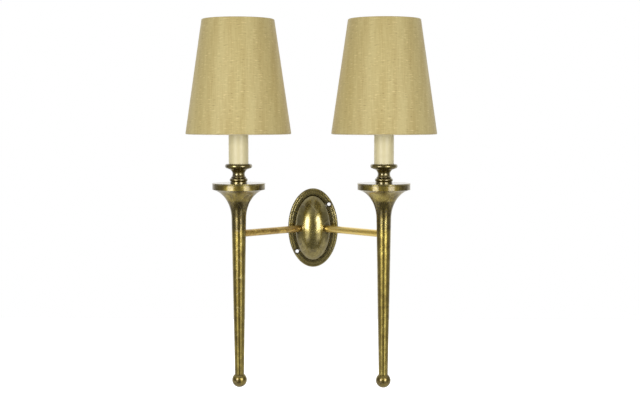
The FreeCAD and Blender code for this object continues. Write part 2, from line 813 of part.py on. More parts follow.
# ---------------------------------------------------------------- clip, pivot and spider
def clip_loop(turn):
    """One sprung loop: two legs along the lamp's side, joined by a cross wire at its waist."""
    wire = clip_wire / 2
    upper = lamp_arcs(slide_gap + wire)[1]
    waist = glass_radius + slide_gap + wire
    top_turn = math.asin((crown_base + crown_thickness / 2 - glass_widest) / upper[1])
    section = Part.Face(Part.Wire([Part.Circle(rz(waist, glass_widest), UP, wire).toShape()]))
    centre = rz(upper[0], glass_widest)
    leg = section.revolve(centre, V(0, -1, 0), math.degrees(top_turn))
    cross = Part.Face(Part.Wire([Part.Circle(V(waist, 0, glass_widest), V(0, 1, 0), wire).toShape()]))
    cross = cross.revolve(rz(0, glass_widest), UP, 2 * clip_leg_angle)
    corner = Part.makeSphere(wire, rz(waist, glass_widest))
    loop = leg.fuse(corner)
    other = loop.copy()
    other.rotate(V(0, 0, 0), UP, 2 * clip_leg_angle)
    loop = loop.fuse(cross).fuse(other)
    loop.rotate(V(0, 0, 0), UP, turn - clip_leg_angle)
    return loop


def bulb_clip():
    top = crown_base + crown_thickness
    clip = rod(crown_radius, rz(0, crown_base), rz(0, top))
    for turn in (90, 270):
        clip = clip.fuse(clip_loop(turn))
    half = tab_thickness / 2
    tab = block(-half, half, -tab_width / 2, tab_width / 2, crown_base + crown_thickness / 2,
                pivot_level + tab_above_pivot)
    reach_out = half + overrun
    hole = rod(pin_diameter / 2 + fit_gap, V(-reach_out, 0, pivot_level), V(reach_out, 0, pivot_level))
    return clip.fuse(tab).cut(hole)


def ear_span():
    return tab_thickness / 2 + ear_gap, tab_thickness / 2 + ear_gap + ear_thickness


def tilt_pin():
    outside = ear_span()[1]
    pin = rod(pin_diameter / 2, V(-outside - pin_head_thickness, 0, pivot_level), V(outside, 0, pivot_level))
    for x0, x1 in ((outside, outside + pin_head_thickness), (-outside - pin_head_thickness, -outside)):
        pin = pin.fuse(rod(pin_head_radius, V(x0, 0, pivot_level), V(x1, 0, pivot_level)))
    return pin.removeSplitter()


def shade_radius_at(height):
    """Outer radius of the cover."""
    drop = (shade_bottom_diameter - shade_top_diameter) / 2
    return shade_bottom_diameter / 2 - drop * (height - shade_base) / shade_height


def ring_places():
    """Centre height and radius of the two ring wires, inside the lining."""
    inset = cover_thickness + lining_thickness + 2 * laminate_gap + ring_wire / 2
    low = shade_base + ring_wire / 2 + laminate_gap
    high = shade_top - ring_wire / 2 - laminate_gap
    return [(low, shade_radius_at(low) - inset), (high, shade_radius_at(high) - inset)]


def shade_spider():
    inner, outer = ear_span()
    top = yoke_base + yoke_thickness
    yoke = rod(yoke_radius, rz(0, yoke_base), rz(0, top))
    half = tab_width / 2
    for x0, x1 in ((inner, outer), (-outer, -inner)):
        yoke = yoke.fuse(block(x0, x1, -half, half, pivot_level - half, yoke_base + yoke_thickness / 2))
    ring_level, ring_radius = ring_places()[1]
    wire = spoke_diameter / 2
    start = rz(yoke_radius / 2, yoke_base + yoke_thickness / 2)
    end = rz(ring_radius - ring_wire / 2 - 2 * fit_gap, ring_level)
    for k in range(spoke_count):
        spoke = rod(wire, start, end)
        spoke.rotate(V(0, 0, 0), UP, spoke_turn + 360 / spoke_count * k)
        yoke = yoke.fuse(spoke)
    reach_out = outer + overrun
    hole = rod(pin_diameter / 2 + fit_gap, V(-reach_out, 0, pivot_level), V(reach_out, 0, pivot_level))
    return yoke.cut(hole)


# ---------------------------------------------------------------- shade
def shade_rings():
    rings = []
    for level, radius in ring_places():
        rings.append(Part.makeTorus(radius, ring_wire / 2, rz(0, level), UP))
    return Part.makeCompound(rings)


def conical_wall(outset, thickness, low, high):
    """Conical skin between two heights, its outer face inside the cover's by an amount."""
    r_low = shade_radius_at(low) - outset
    r_high = shade_radius_at(high) - outset
    return turned(outline((r_low - thickness, low), (r_low, low), (r_high, high), (r_high - thickness, high)))


def shade_cover():
    return conical_wall(0, cover_thickness, shade_base, shade_top)


def shade_lining():
    return conical_wall(cover_thickness + laminate_gap, lining_thickness, shade_base, shade_top)


# ---------------------------------------------------------------- wires
def wires(side):
    """Two conductors from the terminal block, through the arm and up the stem to the lampholder."""
    conductors = []
    low, high = terminal_levels()
    for lift, pole, away in ((wire_spacing / 2, high, -1), (-wire_spacing / 2, low, 1)):
        riser = riser_middle + lift
        column = reach - lift
        corner = along_arm(side, riser)
        outer_by = wire_spacing / 2 - lift
        entry = V(side * (barrel_length / 2 - wire_insertion), corner.y, pole)
        holder_column = reach + away * wire_hole_offset
        rise = nipple_top + wire_spread_start
        points = [entry,
                  V(corner.x, corner.y, pole),
                  along_arm(side, riser, lift),
                  along_arm(side, column, lift),
                  along_arm(side, column, rise),
                  along_arm(side, holder_column, rise + wire_spread_rise),
                  along_arm(side, holder_column, holder_base + holder_floor - blind_gap)]
        bends = [wire_end_bend, wire_entry_bend + outer_by, wire_column_bend + outer_by,
                 wire_spread_bend, wire_spread_bend]
        conductors.append(routed(points, bends, wire_diameter / 2))
    return Part.makeCompound(conductors)


# ---------------------------------------------------------------- assembly
def all_parts():
    parts = {
        "backplate": backplate(),
        "terminal_block": terminal_block(),
        "terminal_barrels": terminal_barrels(),
        "terminal_screws": terminal_screws(),
        "earth_washer": earth_washer(),
        "earth_screw": earth_screw(),
    }
    on_axis = {
        "stem": stem(),
        "finial": finial(),
        "drip_plate": drip_plate(),
        "candle_cup": candle_cup(),
        "nipple": nipple(),
        "nipple_nut": nipple_nut(),
        "holder_bracket": holder_bracket(),
        "holder_body": holder_body(),
        "holder_shell": holder_shell(),
        "holder_contact": holder_contact(),
        "candle_tube": candle_tube(),
        "bulb_cap": bulb_cap(),
        "bulb_glass": bulb_glass(),
        "bulb_filament": bulb_filament(),
        "bulb_clip": bulb_clip(),
        "tilt_pin": tilt_pin(),
        "shade_spider": shade_spider(),
        "shade_rings": shade_rings(),
        "shade_lining": shade_lining(),
        "shade_cover": shade_cover(),
    }
    for name, side in (("left", -1), ("right", 1)):
        parts[name + "_arm"] = arm(side)
        parts[name + "_arm_washer"] = arm_washer(side)
        parts[name + "_arm_nut"] = arm_nut(side)
        parts[name + "_wires"] = wires(side)
        for piece, shape in on_axis.items():
            parts[name + "_" + piece] = on_candle(shape, side)
    return parts


os.makedirs("parts", exist_ok=True)
for node, shape in all_parts().items():
    shape.exportStep("parts/" + node + ".step")
    print(node, len(shape.Solids), round(shape.Volume, 1), shape.isValid())
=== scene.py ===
import bpy
import math
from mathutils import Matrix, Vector


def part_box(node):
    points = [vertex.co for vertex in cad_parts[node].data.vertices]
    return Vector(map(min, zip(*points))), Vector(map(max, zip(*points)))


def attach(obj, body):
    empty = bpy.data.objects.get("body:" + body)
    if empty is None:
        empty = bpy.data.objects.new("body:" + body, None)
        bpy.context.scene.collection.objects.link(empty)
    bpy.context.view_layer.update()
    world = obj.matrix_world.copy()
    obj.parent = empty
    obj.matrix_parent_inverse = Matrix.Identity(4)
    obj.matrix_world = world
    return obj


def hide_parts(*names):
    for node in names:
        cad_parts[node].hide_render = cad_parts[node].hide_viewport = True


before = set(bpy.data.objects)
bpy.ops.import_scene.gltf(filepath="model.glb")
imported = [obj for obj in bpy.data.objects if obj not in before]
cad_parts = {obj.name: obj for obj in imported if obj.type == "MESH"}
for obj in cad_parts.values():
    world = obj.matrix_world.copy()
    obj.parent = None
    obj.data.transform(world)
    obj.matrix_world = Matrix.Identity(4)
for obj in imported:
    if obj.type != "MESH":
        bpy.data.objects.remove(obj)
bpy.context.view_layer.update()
sides = ("left", "right")
mm = 0.001

print("frame loaded:", len(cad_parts), "CAD nodes")


# ---- small helpers

def toLinear(hexColour):
    channels = [int(hexColour[i:i + 2], 16) / 255 for i in (1, 3, 5)]
    return [c / 12.92 if c <= 0.04045 else ((c + 0.055) / 1.055) ** 2.4 for c in channels] + [1.0]


def addNode(tree, kind, settings=None, feeds=None):
    # settings are the node's own choices, with "stops" (place, tone) for a colour ramp;
    # feeds name a socket and the number, hex colour, socket or node that feeds it
    node = tree.nodes.new(kind)
    for name, value in (settings or {}).items():
        if name == "stops":
            while len(node.color_ramp.elements) < len(value):
                node.color_ramp.elements.new(0.5)
            for element, (place, tone) in zip(node.color_ramp.elements, value):
                element.position = place
                element.color = toLinear(tone) if isinstance(tone, str) else (tone, tone, tone, 1.0)
        else:
            setattr(node, name, value)
    for socket, value in (feeds or {}).items():
        if isinstance(value, bpy.types.Node):
            value = next(out for out in value.outputs if out.enabled)
        if isinstance(value, bpy.types.NodeSocket):
            tree.links.new(value, node.inputs[socket])
        else:
            node.inputs[socket].default_value = toLinear(value) if isinstance(value, str) else value
    return node


def perMetre(millimetres):
    # texture scale for a pattern whose grains are this wide
    return 1 / (millimetres * mm)


def startMaterial(name, settings):
    # new material with its shader; the settings are the same all over the surface
    material = bpy.data.materials.new(name)
    material.use_nodes = True
    tree = material.node_tree
    tree.nodes.clear()
    shader = addNode(tree, "ShaderNodeBsdfPrincipled", None, settings)
    addNode(tree, "ShaderNodeOutputMaterial", None, {"Surface": shader})
    return material, tree, shader


def finishShader(tree, shader, colour, rough=None, height=None, strength=0.2, depthMm=0.1):
    tree.links.new(next(out for out in colour.outputs if out.enabled), shader.inputs["Base Color"])
    if rough is not None:
        tree.links.new(rough.outputs[0], shader.inputs["Roughness"])
    if height is not None:
        bump = addNode(tree, "ShaderNodeBump", None,
                       {"Strength": strength, "Distance": depthMm * mm, "Height": height})
        tree.links.new(bump.outputs["Normal"], shader.inputs["Normal"])


def placed(tree, drawn=(1.0, 1.0, 1.0), turn=0.0):
    # object coordinates, turned about the upright axis, with the pattern drawn out this many times
    coordinates = addNode(tree, "ShaderNodeTexCoord")
    return addNode(tree, "ShaderNodeMapping", {"vector_type": "TEXTURE"},
                   {"Vector": coordinates.outputs["Object"], "Rotation": (0.0, 0.0, turn), "Scale": drawn})


def dress(node, material):
    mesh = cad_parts[node].data
    mesh.materials.clear()
    mesh.materials.append(material)


def dressBoth(pieces, material):
    for side in sides:
        for piece in pieces:
            dress(side + "_" + piece, material)


# ---- antique brass

agedBrass = {
    # of each finish: tones of the rubbed high spots, the middle and the chemical browning; least and
    # most roughness; clear lacquer, for pale highlights over the brown metal; strength of the skin's
    # bump; and how dark its pits are
    "turned": {"tones": ("#B3A460", "#897A33", "#5D4F1B"), "roughness": (0.22, 0.34),
               "coat": 1.0, "skin": 0.02, "pits": 0.2},
    "cast": {"tones": ("#C6B45C", "#927F30", "#5C4B16"), "roughness": (0.24, 0.34),
             "coat": 0.6, "skin": 0.04, "pits": 0.5},
    "drawn": {"tones": ("#FFE07E", "#C09D4C", "#7A5C22"), "roughness": (0.32, 0.44),
              "coat": 0.6, "skin": 0.06, "pits": 0.4},
    "toneStops": (0.46, 0.62, 0.80),
    "dirtAndShade": "#2C230B",         # dirt in pits and corners, and painted shade in corners and round the screw holes
    "scratch": "#D8C98F",
    "cloudMm": 9.0,
    "cloudShare": 0.55,        # how much each pattern moves the tone
    "stainMm": 17.0,
    "stainShare": 0.30,
    "streakMm": 1.5,           # hand-rubbed streaks, drawn coarser than the real 0.4 mm to show
    "streakShare": 0.30,
    "grainMm": 1.2,            # cast skin, drawn coarser than the real 0.3 mm
    "grainShare": 0.10,
    "scratchMm": 11.0,
    "scratchWidth": 0.035,     # of the spacing
    "scratchStrength": 0.55,
    "scratchRun": 2.2,         # scratches run this many times longer upwards
    "scratchTurn": 0.6,        # radians
    "scratchedStains": (0.5, 0.62),     # part of the stain pattern where they show
    "pitRange": (0.66, 0.76),  # part of the grain pattern that turns to pits
    "roughRange": (0.4, 0.85),          # part of the tone over which the roughness grows
    # ambient occlusion over cornerMm darkens corners and recesses with the dirt tone: grime in the hollows
    # and painted shade where parts meet
    "cornerMm": 3.0,
    "cornerDirtAndShade": 0.6,
    "skinMm": 0.05,
    "coatIndex": 1.72,
    "coatRoughness": 0.17,
}
stemBands = {
    "roughFrom": 2.0,          # millimetres above the arms, between which the casting is rough
    "roughTo": 45.0,
    "brushedFrom": 59.2,       # above this the band was brushed dull
    "brushedFade": 0.4,
    "brushedDirt": 0.45,
    "brushedRoughness": 0.12,
}
# painted shade in and round the screw holes, darkest in the countersinks
plateHoles = {
    "across": 22.48,           # millimetres to the upper hole; the lower one is across the middle
    "up": 33.33,
    "holeShadeTo": 3.0,             # from a hole's axis, full painted shade to here
    "holeShadeEnd": 5.4,            # and none from here
    "dirtAndShade": 0.85,
}
armRun = {"across": 97.0, "out": 95.0}      # millimetres from plate to stem
# painted light: the right arm's tones are lightened, for the stronger light that falls on it
armPaintedLight = {"left": 0.0, "right": -0.28}


def makeAgedBrass(name, finish, drawn=(1.0, 1.0, 1.0), turn=0.0, browningAndPaintedLight=0.0, bands=None, holes=None):
    # antique brass, browned and rubbed back: cloudy olive with bright high spots, corners darkened
    # with dirt and painted shade, a fine granular skin and clear lacquer; browning shifts the tones darker,
    # and a negative browning lightens them as painted light; bands adds a rough and a brushed height,
    # and holes adds painted shade round two opposite screw holes
    s = {**agedBrass, **agedBrass[finish]}
    material, tree, shader = startMaterial(name, {
        "Metallic": 1.0, "Coat Weight": s["coat"], "Coat IOR": s["coatIndex"],
        "Coat Roughness": s["coatRoughness"]})
    plain = placed(tree)
    along = placed(tree, drawn, turn)
    cloud = addNode(tree, "ShaderNodeTexNoise", None,
                    {"Vector": plain, "Scale": perMetre(s["cloudMm"]), "Detail": 4.0,
                     "Roughness": 0.62, "Distortion": 0.5})
    stain = addNode(tree, "ShaderNodeTexNoise", None,
                    {"Vector": along, "Scale": perMetre(s["stainMm"]), "Detail": 3.0, "Roughness": 0.5})
    streak = addNode(tree, "ShaderNodeTexNoise", None,
                     {"Vector": along, "Scale": perMetre(s["streakMm"]), "Detail": 3.0, "Roughness": 0.6})
    grain = addNode(tree, "ShaderNodeTexNoise", None,
                    {"Vector": plain, "Scale": perMetre(s["grainMm"]), "Detail": 2.0, "Roughness": 0.6})
    tone = browningAndPaintedLight
    for pattern, share in ((cloud, "cloudShare"), (stain, "stainShare"),
                           (streak, "streakShare"), (grain, "grainShare")):
        tone = addNode(tree, "ShaderNodeMath", {"operation": "MULTIPLY_ADD"},
                       {0: pattern, 1: s[share], 2: tone})
    colour = addNode(tree, "ShaderNodeValToRGB",
                     {"stops": list(zip(s["toneStops"], s["tones"]))}, {"Fac": tone})
    # fine scratches that cross the clouds
    cracks = addNode(tree, "ShaderNodeTexVoronoi", {"feature": "DISTANCE_TO_EDGE"},
                     {"Vector": placed(tree, (1.0, 1.0, s["scratchRun"]), s["scratchTurn"]),
                      "Scale": perMetre(s["scratchMm"]), "Randomness": 1.0})
    line = addNode(tree, "ShaderNodeMapRange", None,
                   {"Value": cracks, 1: 0.0, 2: s["scratchWidth"], 3: s["scratchStrength"], 4: 0.0})
    here = addNode(tree, "ShaderNodeMapRange", None,
                   {"Value": stain, 1: s["scratchedStains"][0], 2: s["scratchedStains"][1], 3: 0.0, 4: 1.0})
    share = addNode(tree, "ShaderNodeMath", {"operation": "MULTIPLY"}, {0: line, 1: here})
    colour = addNode(tree, "ShaderNodeMix", {"data_type": "RGBA"}, {0: share, 6: colour, 7: s["scratch"]})
    # pits of the casting, denser where the piece was left rough
    pits = addNode(tree, "ShaderNodeMapRange", None,
                   {"Value": grain, 1: s["pitRange"][0], 2: s["pitRange"][1], 3: 0.0, 4: s["pits"]})
    if bands is not None:
        height = addNode(tree, "ShaderNodeSeparateXYZ", None,
                         {0: addNode(tree, "ShaderNodeTexCoord").outputs["Object"]}).outputs["Z"]
        up = addNode(tree, "ShaderNodeMapRange", None,
                     {"Value": height, 1: bands["roughFrom"] * mm, 2: bands["roughTo"] * mm,
                      3: 0.0, 4: 1.0})
        inside = addNode(tree, "ShaderNodeValToRGB",
                         {"stops": [(0.0, 0.0), (0.15, 1.0), (0.96, 1.0), (1.0, 0.0)]}, {"Fac": up})
        patchy = addNode(tree, "ShaderNodeMapRange", None,
                         {"Value": grain, 1: 0.35, 2: 0.6, 3: 0.12, 4: 0.8})
        dense = addNode(tree, "ShaderNodeMath", {"operation": "MULTIPLY"}, {0: patchy, 1: inside})
        pits = addNode(tree, "ShaderNodeMath", {"operation": "MAXIMUM"}, {0: pits, 1: dense})
    colour = addNode(tree, "ShaderNodeMix", {"data_type": "RGBA"}, {0: pits, 6: colour, 7: s["dirtAndShade"]})
    # painted shade, with some grime: corners and recesses that ambient occlusion finds are darkened with
    # the dirt tone
    corner = addNode(tree, "ShaderNodeAmbientOcclusion", {"samples": 8}, {"Distance": s["cornerMm"] * mm})
    grimeAndShade = addNode(tree, "ShaderNodeMapRange", None,
                   {"Value": corner.outputs["AO"], 1: 0.2, 2: 0.72, 3: s["cornerDirtAndShade"], 4: 0.0})
    # painted shade in and round the two screw holes
    if holes is not None:
        flat = placed(tree, (1.0, 1000.0, 1.0))     # drawn out so far that depth doesn't count
        for sign in (-1, 1):
            away = addNode(tree, "ShaderNodeVectorMath", {"operation": "DISTANCE"},
                           {0: flat, 1: (sign * holes["across"] * mm, 0.0, sign * holes["up"] * mm)})
            holeShade = addNode(tree, "ShaderNodeMapRange", None,
                           {"Value": away, 1: holes["holeShadeTo"] * mm, 2: holes["holeShadeEnd"] * mm,
                            3: holes["dirtAndShade"], 4: 0.0})
            grimeAndShade = addNode(tree, "ShaderNodeMath", {"operation": "MAXIMUM"}, {0: grimeAndShade, 1: holeShade})
    colour = addNode(tree, "ShaderNodeMix", {"data_type": "RGBA"}, {0: grimeAndShade, 6: colour, 7: s["dirtAndShade"]})
    rough = addNode(tree, "ShaderNodeMapRange", None,
                    {"Value": tone, 1: s["roughRange"][0], 2: s["roughRange"][1],
                     3: s["roughness"][0], 4: s["roughness"][1]})
    if bands is not None:
        brushed = addNode(tree, "ShaderNodeMapRange", None,
                          {"Value": height, 1: bands["brushedFrom"] * mm,
                           2: (bands["brushedFrom"] + bands["brushedFade"]) * mm, 3: 0.0, 4: 1.0})
        dull = addNode(tree, "ShaderNodeMath", {"operation": "MULTIPLY"},
                       {0: brushed, 1: bands["brushedDirt"]})
        colour = addNode(tree, "ShaderNodeMix", {"data_type": "RGBA"}, {0: dull, 6: colour, 7: s["dirtAndShade"]})
        rough = addNode(tree, "ShaderNodeMath", {"operation": "MULTIPLY_ADD"},
                        {0: brushed, 1: bands["brushedRoughness"], 2: rough})
    skin = addNode(tree, "ShaderNodeMath", {"operation": "SUBTRACT"}, {0: streak, 1: pits})
    finishShader(tree, shader, colour, rough, skin, s["skin"], s["skinMm"])
    return material


dress("backplate", makeAgedBrass("aged brass, cast, turned and lacquered", "turned", holes=plateHoles))
dressBoth(("drip_plate",), makeAgedBrass("aged brass, turned and lacquered", "turned"))
dressBoth(("candle_cup",), makeAgedBrass("aged brass, turned and lacquered, browner", "turned",
                                         browningAndPaintedLight=0.10))
dressBoth(("finial",), makeAgedBrass("aged brass, turned knob", "cast", browningAndPaintedLight=0.09))
dressBoth(("stem",), makeAgedBrass("aged brass, cast and filed lengthways", "cast",
                                   drawn=(1.0, 1.0, 30.0), bands=stemBands))
for side, sign in zip(sides, (-1, 1)):
    armTurn = math.atan2(-armRun["out"], sign * armRun["across"])
    # each arm has its own copy of the brass, the right one painted lighter
    dress(side + "_arm", makeAgedBrass("aged brass, drawn tube, " + side, "drawn",
                                       drawn=(16.0, 1.0, 1.0), turn=armTurn, browningAndPaintedLight=armPaintedLight[side]))
print("brass done")


# ---- small metals

smallMetals = {
    # name, light and dark tone, roughness
    "plainBrass": ("turned brass, bare", "#C9A85C", "#B08F45", 0.28),
    "nickel": ("nickel plate, drawn", "#C9C6BD", "#B7B3A8", 0.22),
    "zinc": ("zinc plated steel, pressed", "#B9BDC0", "#9EA3A8", 0.36),
    "spring": ("nickelled spring wire, drawn", "#BDBBB5", "#A3A19B", 0.3),
}
metalSkin = {
    "streakMm": 2.0,
    "squash": 0.15,            # streaks are this many times as high as they are wide
    "smoother": 0.06,          # spread of the roughness either way
    "rougher": 0.1,
    "bump": 0.1,
    "bumpMm": 0.04,
}


def makeSmallMetal(name, light, dark, roughness):
    # machine-made metal: even tone with fine turning streaks that break up the shine
    s = metalSkin
    material, tree, shader = startMaterial(name, {"Metallic": 1.0})
    streak = addNode(tree, "ShaderNodeTexNoise", None,
                     {"Vector": placed(tree, (1.0, 1.0, s["squash"])), "Scale": perMetre(s["streakMm"]),
                      "Detail": 3.0, "Roughness": 0.6})
    colour = addNode(tree, "ShaderNodeMix", {"data_type": "RGBA"}, {0: streak, 6: light, 7: dark})
    rough = addNode(tree, "ShaderNodeMapRange", None,
                    {"Value": streak, 1: 0.3, 2: 0.7, 3: roughness - s["smoother"],
                     4: roughness + s["rougher"]})
    finishShader(tree, shader, colour, rough, streak, s["bump"], s["bumpMm"])
    return material


metals = {key: makeSmallMetal(*values) for key, values in smallMetals.items()}
dressBoth(("arm_washer", "arm_nut", "nipple", "nipple_nut", "holder_shell", "holder_contact"),
          metals["plainBrass"])
for node in ("terminal_barrels", "earth_screw", "earth_washer"):
    dress(node, metals["plainBrass"])
dress("terminal_screws", metals["zinc"])
dressBoth(("holder_bracket",), metals["zinc"])
dressBoth(("bulb_cap",), metals["nickel"])
dressBoth(("bulb_clip", "tilt_pin"), metals["spring"])
print("small metals done")


# ---- plastics, glass and coated wire

plastics = {
    # name, light and dark tone, roughness, size of the clouding in millimetres
    "sleeve": ("ivory sleeve, moulded satin plastic", "#E2D7AE", "#D6CB9C", 0.4, 9.0),
    "block": ("natural polyamide, moulded", "#DEDACB", "#CFCAB8", 0.45, 5.0),
    "holder": ("cream phenolic, moulded", "#D9CFA9", "#C9BD94", 0.3, 6.0),
    "liner": ("off-white styrene liner, rolled", "#E6E0CC", "#DAD3BC", 0.6, 14.0),
    "coatedWire": ("off-white epoxy on wire", "#E2DECF", "#D2CDBB", 0.35, 4.0),
    "brownWire": ("brown PVC, extruded", "#5A3420", "#4A2A19", 0.38, 4.0),
    "blueWire": ("blue PVC, extruded", "#2E5F9E", "#274F86", 0.38, 4.0),
}


plasticSkin = {
    "peelMm": 0.9,
    "smoother": 0.04,          # spread of the roughness either way
    "rougher": 0.06,
    "bump": 0.06,
    "bumpMm": 0.03,
}


def makePlastic(name, light, dark, roughness, cloudMm):
    # moulded or extruded plastic: nearly even colour, faint clouding and a very fine orange-peel skin
    s = plasticSkin
    material, tree, shader = startMaterial(name, {"IOR": 1.5})
    cloud = addNode(tree, "ShaderNodeTexNoise", None,
                    {"Vector": placed(tree), "Scale": perMetre(cloudMm), "Detail": 3.0, "Roughness": 0.5})
    peel = addNode(tree, "ShaderNodeTexNoise", None,
                   {"Vector": placed(tree), "Scale": perMetre(s["peelMm"]), "Detail": 1.0})
    colour = addNode(tree, "ShaderNodeMix", {"data_type": "RGBA"}, {0: cloud, 6: light, 7: dark})
    rough = addNode(tree, "ShaderNodeMapRange", None,
                    {"Value": cloud, 1: 0.3, 2: 0.7, 3: roughness - s["smoother"],
                     4: roughness + s["rougher"]})
    finishShader(tree, shader, colour, rough, peel, s["bump"], s["bumpMm"])
    return material


mouldings = {key: makePlastic(*values) for key, values in plastics.items()}
dressBoth(("candle_tube",), mouldings["sleeve"])
dressBoth(("holder_body",), mouldings["holder"])
dressBoth(("shade_lining",), mouldings["liner"])
dressBoth(("shade_spider", "shade_rings"), mouldings["coatedWire"])
dress("terminal_block", mouldings["block"])


lampGlass = {"light": "#FBFBF8", "dark": "#F1F2EE", "swirlMm": 14.0, "bump": 0.08, "bumpMm": 0.2}
filament = {
    "light": "#E9B64A",
    "dark": "#D99F33",
    "mount": "#E8EAE4",        # bare glass under the coated part
    "speckMm": 1.0,
    "coatedFrom": 184.5,       # millimetres above the arms, where the phosphor starts
    "coatedFade": 1.0,
    "bump": 0.2,
    "bumpMm": 0.05,
}


def makeGlass():
    # lamp glass, blown: clear, with faint swirls in its wall
    s = lampGlass
    material, tree, shader = startMaterial("clear glass, blown", {
        "Transmission Weight": 1.0, "IOR": 1.47, "Roughness": 0.02})
    swirl = addNode(tree, "ShaderNodeTexNoise", None,
                    {"Vector": placed(tree, (1.0, 1.0, 3.0)), "Scale": perMetre(s["swirlMm"]),
                     "Detail": 1.0, "Distortion": 1.0})
    colour = addNode(tree, "ShaderNodeMix", {"data_type": "RGBA"}, {0: swirl, 6: s["light"], 7: s["dark"]})
    finishShader(tree, shader, colour, None, swirl, s["bump"], s["bumpMm"])
    return material


def makeFilament():
    # phosphor-coated filaments on a glass mount: warm yellow, matt and slightly grainy
    s = filament
    material, tree, shader = startMaterial("yellow phosphor on glass, coated", {
        "Roughness": 0.5, "IOR": 1.5})
    speck = addNode(tree, "ShaderNodeTexNoise", None,
                    {"Vector": placed(tree), "Scale": perMetre(s["speckMm"]), "Detail": 2.0})
    level = addNode(tree, "ShaderNodeSeparateXYZ", None,
                    {0: addNode(tree, "ShaderNodeTexCoord").outputs["Object"]})
    coated = addNode(tree, "ShaderNodeMapRange", None,
                     {"Value": level.outputs["Z"], 1: s["coatedFrom"] * mm,
                      2: (s["coatedFrom"] + s["coatedFade"]) * mm, 3: 0.0, 4: 1.0})
    yellow = addNode(tree, "ShaderNodeMix", {"data_type": "RGBA"}, {0: speck, 6: s["light"], 7: s["dark"]})
    colour = addNode(tree, "ShaderNodeMix", {"data_type": "RGBA"}, {0: coated, 6: s["mount"], 7: yellow})
    finishShader(tree, shader, colour, None, speck, s["bump"], s["bumpMm"])
    return material


dressBoth(("bulb_glass",), makeGlass())
dressBoth(("bulb_filament",), makeFilament())
print("plastics and glass done")


# ---- wires, brown and blue, from the CAD route

def splitWires(side):
    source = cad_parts[side + "_wires"]
    bpy.ops.object.select_all(action="DESELECT")
    copy = source.copy()
    copy.data = source.data.copy()
    copy.name = side + "_wire_brown"
    bpy.context.scene.collection.objects.link(copy)
    copy.hide_render = False
    bpy.context.view_layer.objects.active = copy
    copy.select_set(True)
    bpy.ops.object.mode_set(mode="EDIT")
    bpy.ops.mesh.select_all(action="SELECT")
    bpy.ops.mesh.remove_doubles(threshold=0.00001)
    bpy.ops.mesh.separate(type="LOOSE")
    bpy.ops.object.mode_set(mode="OBJECT")
    cores = sorted(bpy.context.selected_objects, key=lambda core: -max(v.co.y for v in core.data.vertices))
    for core, colour in zip(cores, ("brown", "blue")):
        core.name = side + "_wire_" + colour
        core.data.materials.clear()
        core.data.materials.append(mouldings[colour + "Wire"])
        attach(core, "root")
        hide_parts(side + "_wires")
    return cores


for side in sides:
    print(side, "wires:", [core.name for core in splitWires(side)])


# ---- shade covers

silkCover = {
    "bottomRadius": 70.5,      # millimetres, outer face
    "topRadius": 48.25,
    "bottom": 133.5,
    "top": 285.1,
    "thickness": 0.4,
    "ringInset": 2.05,         # ring wire's centre behind the outer face
    "ringLift": 1.1,           # and from the edge
    "rollDepth": 1.25,         # the hem rolls round the ring this close
    "hemDepth": 5.0,           # turned up behind the ring
    "lapTurn": 3.8,            # degrees either side of the back that the glued lap covers
    "lapLift": 0.45,
    "columns": 96,
}
slant = math.hypot(silkCover["bottomRadius"] - silkCover["topRadius"],
                   silkCover["top"] - silkCover["bottom"])
coneSpread = (silkCover["bottomRadius"] - silkCover["topRadius"]) / slant
apexToBottom = silkCover["bottomRadius"] / coneSpread


def coverRadius(height):
    s = silkCover
    share = (height - s["bottom"]) / (s["top"] - s["bottom"])
    return s["bottomRadius"] + (s["topRadius"] - s["bottomRadius"]) * share - s["thickness"] / 2


def hemSteps(atTop):
    # (radius, height) places from the cone's edge round the ring wire and along its inside
    s = silkCover
    sign = -1 if atTop else 1
    edge = (s["top"] if atTop else s["bottom"]) + sign * s["ringLift"]
    outer = coverRadius(edge)
    reach = s["ringInset"] - s["thickness"] / 2
    steps = []
    for turn in (22.5, 45, 67.5, 90, 112.5, 135, 157.5, 180):
        a = math.radians(turn)
        steps.append((outer - reach * (1 - math.cos(a)), edge - sign * s["rollDepth"] * math.sin(a)))
    steps.append((outer - 2 * reach, edge + sign * s["hemDepth"]))
    return steps


def selectRim(piece, height, tolerance=0.02):
    # edit-mode selection of the vertices of one ring, by height and by being on an open edge
    bpy.ops.mesh.select_mode(type="EDGE")
    bpy.ops.mesh.select_all(action="DESELECT")
    bpy.ops.mesh.select_non_manifold(extend=False, use_boundary=True, use_wire=False,
                                     use_multi_face=False, use_non_contiguous=False, use_verts=False)
    bpy.ops.object.mode_set(mode="OBJECT")
    vertices = piece.data.vertices
    for edge in piece.data.edges:
        if edge.select and any(abs(vertices[i].co.z - height * mm) > tolerance * mm for i in edge.vertices):
            edge.select = False
    for vertex in vertices:
        vertex.select = False
    for polygon in piece.data.polygons:
        polygon.select = False
    for edge in piece.data.edges:
        if edge.select:
            for i in edge.vertices:
                vertices[i].select = True
    bpy.ops.object.mode_set(mode="EDIT")


def layFlat(piece, axis):
    # UV map in metres of the cut sheet, a sector unrolled from the cone, so that the grain runs
    # straight on the cloth and turns a little round the cone, as on a real shade
    s = silkCover
    uvs = piece.data.uv_layers.new(name="cut")
    middle = (s["bottom"] + s["top"]) / 2
    for polygon in piece.data.polygons:
        centre = math.atan2(polygon.center.x - axis.x, axis.y - polygon.center.y)
        for loop in polygon.loop_indices:
            co = piece.data.vertices[piece.data.loops[loop].vertex_index].co
            turn = math.atan2(co.x - axis.x, axis.y - co.y)
            if turn - centre > math.pi:
                turn -= 2 * math.pi
            elif centre - turn > math.pi:
                turn += 2 * math.pi
            height = co.z / mm
            radius = math.hypot(co.x - axis.x, co.y - axis.y) / mm
            inside = max(0.0, coverRadius(height) - radius - s["thickness"])
            down = (s["bottom"] - height) / (s["top"] - s["bottom"]) * slant
            down += inside if height < middle else -inside
            far = apexToBottom + down
            spread = coneSpread * turn
            uvs.data[loop].uv = (far * math.sin(spread) * mm, far * math.cos(spread) * mm)


